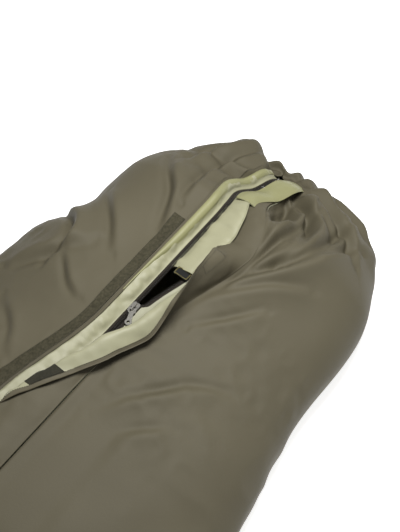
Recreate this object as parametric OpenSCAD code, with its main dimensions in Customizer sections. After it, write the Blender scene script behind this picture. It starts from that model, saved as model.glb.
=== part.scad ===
// Bivy sack: a weatherproof outer bag for a sleeping bag, lying flat with its zip half open.
// +X points to the head end, +Z up, and the zip runs along y = 0.
// The near (left) side is -Y and carries the storm flap; the far (right) side carries the loop strip.

/* [Sack] */
// Length from foot end to head end
sack_len = 2250; // [2100:10:2400]
// Width at the shoulders, with the sack filled out
shoulder_w = 660; // [600:10:740]
// Width at the foot
foot_w = 500; // [440:10:560]
// Height of the ridge that carries the zip
ridge_h = 178; // [160:1:200]
// Thickness that stands for the laminate and its lining
wall_t = 3; // [2:0.5:4]

/* [Zip] */
// Distance from the head end to the slider
slider_from_head = 435; // [400:5:480]
// Length of the chain below the slider
closed_len = 794; // [500:1:1000]
// Depth of the zip below the ridge
zip_sink = 12; // [11:0.5:15]
// Width that the near side has fallen away where the zip is open
mouth_w = 40; // [20:1:45]
// Width of each zip tape beyond its coil
tape_w = 11; // [9:1:12]

/* [Storm flap] */
// Reach of the closed flap across the zip
flap_w = 72; // [66:1:76]
// Width of the loop strip
loop_w = 22; // [16:1:25]
// Length of one hook patch
patch_len = 48; // [30:1:60]
// Distance between hook patches
patch_pitch = 293; // [250:1:300]

/* [Slider] */
// Length of the slider
slider_len = 20; // [18:1:22]
// Distance from the pull tab's pivot to the middle of its end hole
tab_reach = 28; // [24:1:30]
// Radius of the hole in the pull tab
tab_hole_r = 2.5; // [1.5:0.1:3]
// Angle by which the tab lies askew in its loose bridge
tab_skew = 22; // [0:1:22]

/* [Hidden] */

olive = [0.38, 0.36, 0.28];
dark_olive = [0.25, 0.25, 0.17];
pale_green = [0.76, 0.76, 0.58];
yellow_green = [0.64, 0.65, 0.42];
zip_brown = [0.16, 0.14, 0.11];
nickel = [0.72, 0.72, 0.70];

half_len = sack_len / 2;
end_over = 3;                // the end curves would close this far beyond the sack
head_taper = 0.1;            // share of its width that the sack loses towards the hood
head_taper_len = 300;
near_curve = [400, 3];       // length and power of the hood's rounding in plan, near side
far_curve = [520, 2];        // the same for the far side, which is rounder
ridge_fall_len = 195;        // stretch over which the ridge comes down at the head end
ridge_fall_pow = 1.3;
foot_curve_len = 140;
foot_fall_len = 110;
foot_pow = 2.3;
taper_len = 1500;            // stretch over which the sack widens from the foot
side_pow = 2.3;              // roundness of the cross-section
side_mid = 0.38;             // height of the widest point, as a share of the ridge
base_t = 3;
base_share = 0.84;           // width of the flat base, as a share of the sack's width
gap = 0.3;

zip_x = half_len - slider_from_head;
chain_end = half_len - 40;               // head end of the chain
chain_start = zip_x - closed_len;        // foot end of the chain
zip_share = 1 - zip_sink / ridge_h;
straight_end = half_len + end_over - ridge_fall_len;
nose_x = zip_x + slider_len / 2 - 1;     // where the two halves part
mouth_lead = 70;                         // stretch over which the near side begins to part
mouth_step = 6.5;                        // how far the near half clears the slider's side
facing_slack = 22;                       // extra width of the near facing beside the mouth

coil_in = 1.2;
coil_out = 4.8;
coil_t = 2.6;
tape_t = 0.8;
tape_in = 4.9;
right_edge_y = 27;           // edge of the far top panel
left_edge_y = 23.5;          // edge of the near top panel where the zip is closed
hem_w = 7;
cloth_t = 1;
flap_root_y = -22;
flap_root_z = ridge_h + 2;
flap_start = chain_start - 26;
flap_end = zip_x - 145;
flap_rise = 9;               // how far the closed flap arches over the slider
flap_upper_start = zip_x - 90;
flap_upper_end = half_len - 245;
flap_stand = 58;             // height of the upper flap, which stands open
patch_w = 20;
baffle_start = zip_x + 100;
baffle_end = half_len - 125;
corner_end = half_len - 22;

function clamp01(s) = max(0, min(1, s));
function smooth(s) = let (c = clamp01(s)) c * c * (3 - 2 * c);
function arch(s, p) = pow(max(0, 1 - pow(1 - clamp01(s), p)), 1 / p);

// Ridge height at a station along X, and half width there on one side (-1 near, 1 far)
function ridge(x) =
    ridge_h * arch((half_len + end_over - x) / ridge_fall_len, ridge_fall_pow)
    * arch((x + half_len + end_over) / foot_fall_len, foot_pow);
function half_w(x, side) =
    let (t = clamp01((x + half_len) / taper_len), curve = side < 0 ? near_curve : far_curve)
    (foot_w + (shoulder_w - foot_w) * t * (2 - t)) / 2
    * (1 - head_taper * smooth((x - taper_len / 3) / head_taper_len))
    * arch((half_len + end_over - x) / curve[0], curve[1])
    * arch((x + half_len + end_over) / foot_curve_len, foot_pow);
function zip_z(x) = zip_share * ridge(x);
function top_z(x, y) =
    let (h = ridge(x), zc = side_mid * h)
    zc + (h - zc) * pow(max(0, 1 - pow(abs(y) / half_w(x, y), side_pow)), 1 / side_pow);

// How far the near edge has moved out, and where the open near half of the chain lies
function mouth(x) =
    let (s = clamp01((x - zip_x) / (chain_end + 10 - zip_x)))
    mouth_step * smooth((x - nose_x + mouth_lead) / mouth_lead)
    + mouth_w * pow(max(0, sin(180 * s)), 1.5);
function left_chain(x) = x < nose_x + 0.5 ? 0 : mouth(x);
function near_edge(x) = left_edge_y + mouth(x)
    + facing_slack * smooth((x - zip_x + 90) / 90) * (1 - smooth((x - zip_x - 170) / 120));

// Stations: the straight stretch needs only its ends, the head end needs closer ones
bend_stations = [0.15, 0.3, 0.45, 0.58, 0.7, 0.8, 0.9, 1];
right_stations = concat([chain_start, straight_end],
    [for (s = bend_stations) straight_end + s * (chain_end - straight_end)]);
mouth_stations = [for (i = [0:9]) nose_x + 1 + i * (straight_end - nose_x - 1) / 9];
left_stations = concat([chain_start, nose_x - mouth_lead, nose_x - mouth_lead / 2, nose_x - 2],
    mouth_stations, [for (s = bend_stations) straight_end + s * (chain_end - straight_end)]);

// A closed thin solid between two grids of points, top first
module slab(top, bottom) {
    n = len(top);
    m = len(top[0]);
    k = n * m;
    points = [for (grid = [top, bottom]) for (row = grid) for (p = row) p];
    skins = [for (i = [0:n - 2]) for (j = [0:m - 2])
        let (a = i * m + j, b = a + 1, c = a + m, d = c + 1)
        for (f = [[a, c, d], [a, d, b], [k + a, k + d, k + c], [k + a, k + b, k + d]]) f];
    ends = [for (j = [0:m - 2]) let (a = j, b = j + 1, c = (n - 1) * m + j, d = c + 1)
        for (f = [[a, b, k + b], [a, k + b, k + a], [c, k + d, d], [c, k + c, k + d]]) f];
    sides = [for (i = [0:n - 2]) let (a = i * m, c = a + m, b = a + m - 1, d = b + m)
        for (f = [[a, k + c, c], [a, k + a, k + c], [b, d, k + d], [b, k + d, k + b]]) f];
    polyhedron(points, concat(skins, ends, sides));
}

// A strip of cloth along the sack: path(x) gives its [y, z] points, and t is its thickness
module strip(stations, path, t) {
    slab([for (x = stations) [for (p = path(x)) [x, p[0], p[1] + t]]],
         [for (x = stations) [for (p = path(x)) [x, p[0], p[1]]]]);
}

// Cross-section of one side of the shell, from its upper edge to the base
function half_section(x, edge, side, inset) =
    let (b = half_w(x, side) - inset, h = ridge(x) - inset, zc = side_mid * ridge(x),
        e = 2 / side_pow, a0 = acos(min(1, pow(edge / b, 1 / e))))
    concat(
        [for (i = [0:6]) let (a = a0 * (1 - i / 6))
            [b * pow(cos(a), e), zc + (h - zc) * pow(sin(a), e)]],
        [for (a = [30, 60, 90])
            [b * (base_share + (1 - base_share) * pow(cos(a), e)),
                zc - (zc - base_t) * pow(sin(a), e)]]);

function shell_row(x, edge, side, inset) =
    [for (p = half_section(x, edge, side, inset)) [x, side * p[0], p[1]]];

panel_stations = concat(
    [for (s = [-0.925, -0.9, -0.875, -0.75, -0.5, -0.3]) s * half_len],
    [chain_start - 30, chain_start - 12, 0, 0.25 * half_len, 0.45 * half_len],
    [for (x = left_stations) if (x > nose_x - mouth_lead - 1 && x <= chain_end - 12) x],
    [chain_end]);

// Near the foot the two top panels meet at the middle
function panel_edge(x, y) = gap / 2 + (y - gap / 2) * smooth((x - chain_start + 30) / 18);

module top_panel(side) {
    near = side < 0;
    outer = [for (x = panel_stations)
        let (e = panel_edge(x, near ? near_edge(x) : right_edge_y)) shell_row(x, e, side, 0)];
    inner = [for (x = panel_stations)
        let (e = panel_edge(x, near ? near_edge(x) : right_edge_y)) shell_row(x, e, side, wall_t)];
    if (near)
        slab(inner, outer);
    else
        slab(outer, inner);
}

// The whole arch of the shell, used where an end closes
function arch_row(x, inset, at) =
    let (near = half_section(x, 0, -1, inset), far = half_section(x, 0, 1, inset))
    concat([for (i = [len(near) - 1:-1:1]) [at, -near[i][0], near[i][1]]],
        [for (p = far) [at, p[0], p[1]]]);

module end_bowl(stations, inset_x) {
    last = len(stations) - 1;
    outer = [for (x = stations) arch_row(x, 0, x)];
    inner = [for (i = [0:last])
        arch_row(stations[i], wall_t, stations[i] - (i == last ? inset_x : 0))];
    n = len(outer);
    m = len(outer[0]);
    k = n * m;
    points = [for (grid = [outer, inner]) for (row = grid) for (p = row) p];
    turn = inset_x > 0 ? 1 : -1;
    skins = [for (i = [0:n - 2]) for (j = [0:m - 2])
        let (a = i * m + j, b = a + 1, c = a + m, d = c + 1)
        for (f = [[a, c, d], [a, d, b], [k + a, k + d, k + c], [k + a, k + b, k + d]]) f];
    rim = [for (j = [0:m - 2]) let (a = j, b = j + 1)
        for (f = [[a, b, k + b], [a, k + b, k + a]]) f];
    feet = [for (i = [0:n - 2]) let (a = i * m, c = a + m, b = a + m - 1, d = b + m)
        for (f = [[a, k + c, c], [a, k + a, k + c], [b, d, k + d], [b, k + d, k + b]]) f];
    caps = [[for (j = [m - 1:-1:0]) k - m + j], [for (j = [0:m - 1]) 2 * k - m + j],
        [k - 1, k - m, 2 * k - m, 2 * k - 1]];
    faces = concat(skins, rim, feet, caps);
    polyhedron(points, turn > 0 ? faces : [for (f = faces) [for (i = [len(f) - 1:-1:0]) f[i]]]);
}

foot_rim = -0.925 * half_len;
foot_stations = [for (s = [0, 0.3, 0.55, 0.75, 0.9, 1]) foot_rim - gap + s * (-half_len - foot_rim + gap)];
hood_stations = [for (s = [0, 0.35, 0.65, 0.85, 1]) chain_end + gap + s * (half_len - chain_end - gap)];

outline_stations = concat([-half_len], [for (s = [0.02:0.02:0.14]) -half_len + s * half_len],
    [for (s = [-0.7:0.15:0.35]) s * half_len], [for (s = [0.5:0.04:0.98]) s * half_len], [half_len]);
module base_outline(inset) {
    polygon(concat(
        [for (x = outline_stations) [x, -base_share * half_w(x, -1) + inset]],
        [for (i = [len(outline_stations) - 1:-1:0])
            let (x = outline_stations[i]) [x, base_share * half_w(x, 1) - inset]]));
}

module base_panel() {
    color(dark_olive) linear_extrude(base_t) base_outline(0);
}

module top_panel_left() {
    color(olive) top_panel(-1);
}

module top_panel_right() {
    color(olive) top_panel(1);
}

module foot_panel() {
    color(olive) end_bowl(foot_stations, -wall_t);
}

module hood_end_panel() {
    color(olive) end_bowl(hood_stations, wall_t);
}

tape_band = 20;
module side_seam_tape() {
    color(dark_olive) translate([0, 0, base_t])
        linear_extrude(cloth_t) intersection() {
            difference() {
                base_outline(wall_t + 2);
                base_outline(wall_t + 2 + tape_band);
            }
            square([1.8 * half_len, shoulder_w], center = true);
        }
}

module center_seam_tape() {
    start = foot_rim + 5;
    color(dark_olive) translate([start, -tape_band / 2, ridge_h - wall_t - 6])
        cube([chain_start - 45 - start, tape_band, cloth_t]);
}

// Far side: placket from the zip up to the panel's edge, folded hem, and loop strip
module right_placket() {
    color(pale_green) strip(right_stations, function(x) let (z = zip_z(x), r = ridge(x))
        [[8, z + 1.2], [15, z + 1.6], [21, z + 2.6], [right_edge_y - 0.7, z + (r - z) * 0.6]], cloth_t);
}

module right_edge_hem() {
    color(olive) strip(right_stations, function(x)
        [for (y = [right_edge_y, right_edge_y + hem_w]) [y, top_z(x, y) + gap]], cloth_t);
}

loop_y = right_edge_y + hem_w + 0.5;
module loop_strip() {
    stations = [for (x = right_stations) if (x < straight_end + 40) x];
    color(dark_olive) strip(stations, function(x)
        [for (y = [loop_y, loop_y + loop_w / 2, loop_y + loop_w]) [y, top_z(x, y) + gap]], 2);
}

// Near side: facing from the tape up to the panel's edge
module left_facing() {
    color(pale_green) strip(left_stations, function(x)
        let (z = zip_z(x), r = ridge(x), e = near_edge(x), t = tape_in + tape_w + mouth(x))
        [[0.5 - e, z + (r - z) * 0.6], [-0.4 * e - 0.6 * t, z + 1], [-t - 0.3, z - 0.2]], cloth_t);
}

module zip_tape_right() {
    color(zip_brown) strip(right_stations, function(x)
        [for (y = [tape_in, tape_in + tape_w]) [y, zip_z(x) - tape_t / 2]], tape_t);
}

module zip_tape_left() {
    color(zip_brown) strip(left_stations, function(x)
        [[-tape_in - tape_w - mouth(x), zip_z(x) - tape_t / 2],
            [-tape_in - left_chain(x), zip_z(x) - tape_t / 2]], tape_t);
}

module coil(stations, side) {
    strip(stations, function(x) let (s = side < 0 ? left_chain(x) : 0, z = zip_z(x) - coil_t / 2)
        side < 0 ? [[-coil_out - s, z], [-coil_in - s, z]] : [[coil_in, z], [coil_out, z]], coil_t);
}

module zip_coil_right() {
    color(zip_brown) coil([for (x = right_stations) if (x < chain_end - 1) x], 1);
}

module zip_coil_left() {
    open_stations = [for (x = left_stations) if (x > nose_x && x < chain_end - 1) x];
    color(zip_brown) {
        coil([chain_start, nose_x - 2], -1);
        coil(open_stations, -1);
    }
}

stop_len = 7;
module zip_bottom_stop() {
    color(nickel) translate([chain_start - stop_len - gap, -coil_out, zip_z(zip_x) - coil_t / 2])
        cube([stop_len, 2 * coil_out, coil_t]);
}

module zip_top_stops() {
    x = chain_end - 6;
    rise = 2.4;
    color(nickel) {
        translate([x, coil_in, zip_z(x) + rise]) cube([4, coil_out - coil_in, coil_t]);
        translate([x, -coil_out - left_chain(x), zip_z(x) + rise])
            cube([4, coil_out - coil_in, coil_t]);
    }
}

// The baffle hangs from under the far tape and lies across the opening
module draft_baffle() {
    stations = [for (i = [0:8]) baffle_start + i * (baffle_end - baffle_start) / 8];
    color(pale_green) strip(stations, function(x) let (z = zip_z(x))
        [[-38, z + 4.5], [-25, z + 3], [-10, z - 1.6], [0, z - 3], [14, z - 3]], cloth_t);
}

module baffle_corner() {
    stations = [for (i = [0:6]) baffle_end + 1 + i * (corner_end - baffle_end - 1) / 6];
    color(yellow_green) strip(stations, function(x) let (w = 30 + 12 * (x - baffle_end) / 100)
        [for (y = [-w, -w / 2, -3]) [y, top_z(x, y) + 5.5]], cloth_t);
}

module woven_label() {
    color("black") translate([baffle_start - 15.5, -36, zip_z(zip_x) + 4])
        cube([15, 26, cloth_t]);
}

// Upper length of the storm flap: folded back near the slider, standing further up
flap_upper_t = 2;
patch_t = 1.2;
first_patch_x = flap_end - 33;
upper_patch_x = [for (s = [-0.5, 0, 0.5]) first_patch_x + patch_pitch + s * patch_len];
flap_upper_x = concat(
    [for (i = [0:5]) flap_upper_start + i * (upper_patch_x[0] - flap_upper_start) / 6],
    upper_patch_x,
    [for (i = [1:4]) upper_patch_x[2] + i * (flap_upper_end - upper_patch_x[2]) / 4]);
function flap_angle(x) = 150 - 45 * smooth((x - zip_x + 10) / 80);

// A point on the upper flap, u up from its root and off above its underside
function flap_upper_point(x, u, off) = let (a = flap_angle(x))
    [x, -near_edge(x) - 0.5 + u * cos(a) - off * sin(a), ridge(x) + 2 + u * sin(a) + off * cos(a)];
module flap_sheet(stations, steps, low, high) {
    slab([for (x = stations) [for (u = steps) flap_upper_point(x, u, high)]],
        [for (x = stations) [for (u = steps) flap_upper_point(x, u, low)]]);
}

module flap_upper() {
    color(olive) flap_sheet(flap_upper_x, [0, flap_stand / 2, flap_stand], 0, flap_upper_t);
}

module upper_hook_patch() {
    top = flap_stand - 4;
    color(dark_olive)
        flap_sheet(upper_patch_x, [top - patch_w, top], -0.1 - patch_t, -0.1);
}

// Closed lower length of the storm flap: an arch from its root to the loop strip
flap_far = [flap_root_y + flap_w, flap_root_z + 4.2];
flap_near = [flap_root_y + 0.5, flap_root_z];
function flap_point(s, lift) =
    let (p = flap_near + s * (flap_far - flap_near), a = 180 * s)
    [p[0], p[1] + flap_rise * sin(a) + lift];
module flap_layer(low, high, s0, s1) {
    steps = [for (i = [0:12]) s0 + i * (s1 - s0) / 12];
    translate([flap_start, 0, 0]) rotate([90, 0, 90]) linear_extrude(flap_end - flap_start)
        polygon(concat([for (s = steps) flap_point(s, low)],
            [for (i = [12:-1:0]) flap_point(steps[i], high)]));
}

module flap_outer() {
    color(olive) flap_layer(0, cloth_t, 0, 1);
}

module flap_lining() {
    color(pale_green) flap_layer(-cloth_t, 0, 0, 1);
}

module flap_hem() {
    color(olive) translate([flap_start, flap_far[0], flap_far[1] - cloth_t])
        cube([flap_end - flap_start, 3, 2 * cloth_t]);
}

module hook_patches() {
    steps = [0.7, 0.84, 0.97];
    top = -cloth_t - 0.2;
    color(dark_olive) for (i = [0:2])
        translate([first_patch_x - i * patch_pitch, 0, 0]) rotate([90, 0, 90])
            translate([0, 0, -patch_len / 2]) linear_extrude(patch_len)
                polygon(concat([for (s = steps) flap_point(s, top - patch_t)],
                    [for (i = [2:-1:0]) flap_point(steps[i], top)]));
}

// Slider: two plates held apart by a post at the nose, with a bridge on each face
plate_t = 1.6;
channel_h = 3.4;
plate_w = 13.6;
flange_w = 1.2;
flange_h = 0.8;
post_w = 1.8;
bridge_w = 3;
bridge_len = 15;
bridge_gap = 3;
bar_t = 1.6;
pivot_h = channel_h / 2 + plate_t + bridge_gap / 2;

module slider_plate() {
    linear_extrude(plate_t) union() {
        translate([-slider_len / 2, -plate_w / 2 + 1]) square([slider_len - 4, plate_w - 2]);
        translate([-slider_len / 2 + 3, -plate_w / 2]) square([slider_len - 7, plate_w]);
        for (side = [-1, 1])
            translate([slider_len / 2 - 4, side * (plate_w / 2 - 4)]) circle(r = 4, $fn = 32);
        translate([slider_len / 2 - 4, -2]) square([3, 4]);
    }
}

module slider_half() {
    translate([0, 0, channel_h / 2]) slider_plate();
    for (side = [-1, 1])
        translate([-slider_len / 2 + 3, side * (plate_w - flange_w) / 2 - flange_w / 2,
            channel_h / 2 - flange_h])
            cube([slider_len - 7, flange_w, flange_h + 0.1]);
    for (end = [-1, 1])
        translate([end * (bridge_len / 2 - 1) - 1, -bridge_w / 2, channel_h / 2 + plate_t - 0.1])
            cube([2, bridge_w, bridge_gap + 0.2]);
    translate([-bridge_len / 2, 0, channel_h / 2 + plate_t + bridge_gap])
        rotate([0, 90, 0]) linear_extrude(bridge_len) translate([-bar_t / 2, 0])
            square([bar_t, bridge_w], center = true);
}

module slider_body() {
    color(nickel) translate([zip_x, 0, zip_z(zip_x)]) {
        slider_half();
        mirror([0, 0, 1]) slider_half();
        translate([slider_len / 2 - 4.5, -post_w / 2, -channel_h / 2])
            cube([3, post_w, channel_h]);
    }
}

// Pull tab in its own frame: pivot at the origin, lying along -X
tab_t = 1.6;
tab_w = 12;
leg_w = 1.6;
window_len = 9.5;
ring_r = 5.5;
module tab_shape() {
    difference() {
        translate([-window_len - 2, -tab_w / 2]) square([window_len + 2.8, tab_w]);
        translate([-window_len, -tab_w / 2 + leg_w])
            square([window_len + 2, tab_w - 2 * leg_w]);
    }
    translate([-tab_reach, -3.6]) square([tab_reach - window_len - 1, 7.2]);
}

module tab() {
    translate([0, 0, -tab_t / 2]) linear_extrude(tab_t) difference() {
        union() {
            tab_shape();
            translate([-tab_reach, 0]) circle(r = ring_r, $fn = 48);
        }
        translate([-tab_reach, 0]) circle(r = tab_hole_r, $fn = 48);
    }
    rotate([90, 0, 0]) cylinder(r = 0.8, h = tab_w, center = true, $fn = 24);
}

module pull_tab() {
    color(nickel) translate([zip_x, 0, zip_z(zip_x) + pivot_h]) rotate([0, 0, tab_skew]) tab();
}

module inner_pull_tab() {
    color(nickel) translate([zip_x, 0, zip_z(zip_x) - pivot_h]) rotate([0, -90, 0]) tab();
}

base_panel();
top_panel_left();
top_panel_right();
foot_panel();
hood_end_panel();
side_seam_tape();
center_seam_tape();
right_placket();
right_edge_hem();
left_facing();
loop_strip();
zip_tape_left();
zip_tape_right();
zip_coil_left();
zip_coil_right();
zip_bottom_stop();
zip_top_stops();
draft_baffle();
baffle_corner();
woven_label();
flap_upper();
upper_hook_patch();
flap_outer();
flap_lining();
flap_hem();
hook_patches();
slider_body();
pull_tab();
inner_pull_tab();
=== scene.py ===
"""Bivy sack: cloth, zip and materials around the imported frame.

Metres; +X is the head end, +Z is up and the zip runs along y = 0.
"""

import math

import bpy
import numpy as np
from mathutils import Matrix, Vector


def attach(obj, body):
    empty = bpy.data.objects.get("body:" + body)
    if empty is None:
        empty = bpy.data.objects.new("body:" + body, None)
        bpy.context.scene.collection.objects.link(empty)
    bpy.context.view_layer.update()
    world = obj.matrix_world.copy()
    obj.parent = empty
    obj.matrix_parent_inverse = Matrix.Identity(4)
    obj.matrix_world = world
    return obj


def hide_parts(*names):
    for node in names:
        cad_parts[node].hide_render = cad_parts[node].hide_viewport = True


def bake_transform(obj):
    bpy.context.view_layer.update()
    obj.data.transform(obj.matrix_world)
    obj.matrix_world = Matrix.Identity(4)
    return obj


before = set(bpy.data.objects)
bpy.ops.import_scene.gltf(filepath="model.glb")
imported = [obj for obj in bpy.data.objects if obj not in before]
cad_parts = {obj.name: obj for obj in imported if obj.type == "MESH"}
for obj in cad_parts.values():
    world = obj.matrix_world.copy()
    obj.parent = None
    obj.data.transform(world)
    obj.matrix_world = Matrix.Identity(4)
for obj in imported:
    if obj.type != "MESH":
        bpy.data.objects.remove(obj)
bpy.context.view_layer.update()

# ---------------------------------------------------------------- driving sizes, as in the CAD
HALF_LEN = 1.125
END = HALF_LEN + 0.003
RIDGE_H = 0.178
FOOT_W, SHOULDER_W = 0.500, 0.660
SIDE_POW, SIDE_MID, BASE_SHARE, BASE_T = 2.3, 0.38, 0.84, 0.003
ZIP_X = 0.690
NOSE_X = ZIP_X + 0.009
CHAIN_START, CHAIN_END = ZIP_X - 0.794, HALF_LEN - 0.040
ZIP_SHARE = 1 - 0.012 / RIDGE_H
COIL_IN, COIL_OUT = 0.0012, 0.0048
CLOTH = 0.0009
HOOD_LIFT = 0.032
LOWEST = 0.0022  # height of the middle of the shell's cloth where it meets the base
SEAM_GAP = 0.00015  # half the gap where the two halves of the shell meet on y = 0
rng = np.random.default_rng(7)
LATTICE = rng.uniform(-1, 1, (32, 32, 32))


# ---------------------------------------------------------------- shape of the sack
def clamp01(s):
    return np.clip(s, 0.0, 1.0)


def smooth(s):
    c = clamp01(s)
    return c * c * (3 - 2 * c)


def arch(s, p):
    return np.maximum(0.0, 1 - (1 - clamp01(s)) ** p) ** (1 / p)


def ridge(x):
    """Height along the middle, with the bunched hood end standing a little above the frame's."""
    plain = RIDGE_H * arch((END - x) / 0.195, 1.3) * arch((x + END) / 0.110, 2.3)
    return plain + HOOD_LIFT * smooth((x - 1.015) / 0.060)


def half_w(x, side):
    t = clamp01((x + HALF_LEN) / 1.5)
    width = (FOOT_W + (SHOULDER_W - FOOT_W) * t * (2 - t)) / 2 * (1 - 0.1 * smooth((x - 0.5) / 0.3))
    head = np.where(side < 0, arch((END - x) / 0.40, 3), arch((END - x) / 0.52, 2))
    return width * head * arch((x + END) / 0.140, 2.3)


def zip_z(x):
    return ZIP_SHARE * ridge(x)


def top_z(x, y):
    h = ridge(x)
    share = clamp01(np.abs(y) / np.maximum(half_w(x, y), 1e-6))
    return SIDE_MID * h + (1 - SIDE_MID) * h * (1 - share**SIDE_POW) ** (1 / SIDE_POW)


def mouth(x):
    s = clamp01((x - ZIP_X) / (CHAIN_END + 0.010 - ZIP_X))
    return 0.0065 * smooth((x - NOSE_X + 0.07) / 0.07) + 0.040 * np.maximum(0, np.sin(np.pi * s)) ** 1.5


def left_chain(x):
    return np.where(x < NOSE_X, 0.0, mouth(x) * smooth((x - NOSE_X + 0.004) / 0.012))


def near_edge(x):
    """Edge of the near panel: the facing is slack beside the mouth."""
    slack = 0.022 * smooth((x - ZIP_X + 0.09) / 0.09) * (1 - smooth((x - ZIP_X - 0.17) / 0.12))
    return 0.0235 + mouth(x) + slack


def far_edge(x):
    """Edge of the far panel: the placket widens where the flap starts to roll back."""
    return 0.027 + 0.033 * smooth((0.66 - x) / 0.22) * (1 - smooth((0.40 - x) / 0.20))


def zip_y(x):
    """How far the zip wanders off the middle as it turns down over the hood end."""
    return 0.011 * np.exp(-(((x - 0.985) / 0.035) ** 2)) - 0.008 * smooth((x - 1.02) / 0.06)


# ---------------------------------------------------------------- noise and folds
def noise(p, size, seed=0):
    """Smooth noise from -1 to 1 at points p, with features about size metres across."""
    q = np.asarray(p, float) / size + 17.3 * (seed + 1)
    i = np.floor(q).astype(int)
    f = q - i
    f = f * f * (3 - 2 * f)
    total = np.zeros(q.shape[:-1])
    for dx in (0, 1):
        for dy in (0, 1):
            for dz in (0, 1):
                w = (
                    (f[..., 0] if dx else 1 - f[..., 0])
                    * (f[..., 1] if dy else 1 - f[..., 1])
                    * (f[..., 2] if dz else 1 - f[..., 2])
                )
                total += w * LATTICE[(i[..., 0] + dx) % 32, (i[..., 1] + dy) % 32, (i[..., 2] + dz) % 32]
    return total


def lifted(path, step=0.012):
    """A path given by (x, y) points as closely spaced 3D points on the undeformed sack."""
    path = np.array(path, float)
    along = np.concatenate([[0], np.cumsum(np.linalg.norm(np.diff(path, axis=0), axis=1))])
    at = np.linspace(0, along[-1], max(3, int(along[-1] / step)))
    xy = np.stack([np.interp(at, along, path[:, k]) for k in (0, 1)], axis=1)
    xy[1:-1] = (xy[:-2] + 2 * xy[1:-1] + xy[2:]) / 4
    return np.column_stack([xy, top_z(xy[:, 0], xy[:, 1])])


def fold(p, path, height, width, skew=0.0):
    """Height added at points p by one fold along a path: a ridge, with a valley beside it if skewed."""
    line = lifted(path)
    total = np.zeros(len(p))
    reach = 0.6 + 4 * width
    near = np.where(np.linalg.norm(p - line.mean(0), axis=1) < reach)[0]
    if not len(near):
        return total
    q = p[near]
    best = np.full(len(near), 1e9)
    side = np.zeros(len(near))
    share = np.zeros(len(near))
    n = len(line) - 1
    for k in range(n):
        a, b = line[k], line[k + 1]
        ab = b - a
        t = clamp01(((q - a) @ ab) / (ab @ ab))
        d = q - (a + t[:, None] * ab)
        dist = np.linalg.norm(d, axis=1)
        closer = dist < best
        best[closer] = dist[closer]
        side[closer] = np.sign(d[closer, 0] * ab[1] - d[closer, 1] * ab[0])
        share[closer] = (k + t[closer]) / n
    ends = np.sin(np.pi * clamp01(0.06 + 0.88 * share)) ** 0.7
    d = best * np.where(side == 0, 1, side) / width
    crest = np.sqrt(d**2 + 0.09) - 0.3
    shape = np.exp(-crest * np.where(d > 0, 1.9, 0.8)) - skew * np.exp(-(((d - 0.95) / 0.55) ** 2))
    total[near] = height * ends * shape
    return total


# ---------------------------------------------------------------- mesh helpers
materials = {}


def make_object(name, verts, faces, mats, face_mats=None, uvs=None):
    mesh = bpy.data.meshes.new(name)
    mesh.from_pydata([tuple(v) for v in verts], [], [tuple(int(i) for i in f) for f in faces])
    for m in mats:
        mesh.materials.append(materials[m])
    if face_mats is not None:
        mesh.polygons.foreach_set("material_index", np.asarray(face_mats, np.int32))
    mesh.polygons.foreach_set("use_smooth", np.full(len(mesh.polygons), True))
    if uvs is not None:
        layer = mesh.uv_layers.new(name="UVMap")
        loops = np.zeros(len(mesh.loops), np.int32)
        mesh.loops.foreach_get("vertex_index", loops)
        layer.data.foreach_set("uv", np.asarray(uvs, np.float32)[loops].ravel())
    mesh.validate()
    mesh.update()
    obj = bpy.data.objects.new(name, mesh)
    bpy.context.scene.collection.objects.link(obj)
    return obj


def grid_normals(g):
    du = np.gradient(g, axis=0)
    dv = np.gradient(g, axis=1)
    n = np.cross(du, dv)
    return n / np.maximum(np.linalg.norm(n, axis=2, keepdims=True), 1e-12)


def arc_uv(g):
    """Distances along both directions of a grid, in metres."""
    m = g.shape[1] // 2
    u = np.concatenate([[0], np.cumsum(np.linalg.norm(np.diff(g[:, m], axis=0), axis=1))])
    v = np.concatenate(
        [np.zeros((g.shape[0], 1)), np.cumsum(np.linalg.norm(np.diff(g, axis=1), axis=2), axis=1)], axis=1
    )
    return np.stack([np.broadcast_to(u[:, None], v.shape), v], axis=2)


def sheet(name, g, mats, thick=CLOTH, up=1, hem=0, body="sack"):
    """A cloth of even thickness from a grid of points. up=1: the first material faces along du x dv.

    mats are the outer face's and the inner face's; hem is how many columns at the last edge, on both
    faces, take the first material.
    """
    n, m = g.shape[:2]
    nrm = grid_normals(g) * up
    outer, inner = g + nrm * thick / 2, g - nrm * thick / 2
    verts = np.concatenate([outer.reshape(-1, 3), inner.reshape(-1, 3)])
    k = n * m
    i, j = np.meshgrid(np.arange(n - 1), np.arange(m - 1), indexing="ij")
    a = (i * m + j).ravel()
    quad = np.stack([a, a + m, a + m + 1, a + 1], axis=1)
    if up < 0:
        quad = quad[:, ::-1]
    faces = [quad, quad[:, [0, 3, 2, 1]] + k]
    inner_mat = np.where(j.ravel() >= m - 1 - hem, 0, 1) if hem else np.ones(len(quad), int)
    face_mats = [np.zeros(len(quad), int), inner_mat]

    def rim(line):
        line = np.asarray(line)
        r = np.stack([line[:-1], line[1:], line[1:] + k, line[:-1] + k], axis=1)
        return r if up < 0 else r[:, ::-1]

    rims = [
        rim(np.arange(n)[::-1] * m),
        rim(np.arange(n) * m + m - 1),
        rim(np.arange(m)),
        rim((n - 1) * m + np.arange(m)[::-1]),
    ]
    faces += rims
    face_mats += [np.zeros(len(r), int) for r in rims]
    # both faces are split along the same diagonals, so that neither comes through the other
    quads, quad_mats = np.concatenate(faces), np.concatenate(face_mats)
    triangles = np.concatenate([quads[:, [0, 1, 2]], quads[:, [0, 2, 3]]])
    uv = arc_uv(g).reshape(-1, 2)
    obj = make_object(name, verts, triangles, mats, np.tile(quad_mats, 2), np.concatenate([uv, uv]))
    if body:
        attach(obj, body)
    return obj


def stations(low, high, step):
    return np.linspace(low, high, max(2, int(round((high - low) / step)) + 1))


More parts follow.
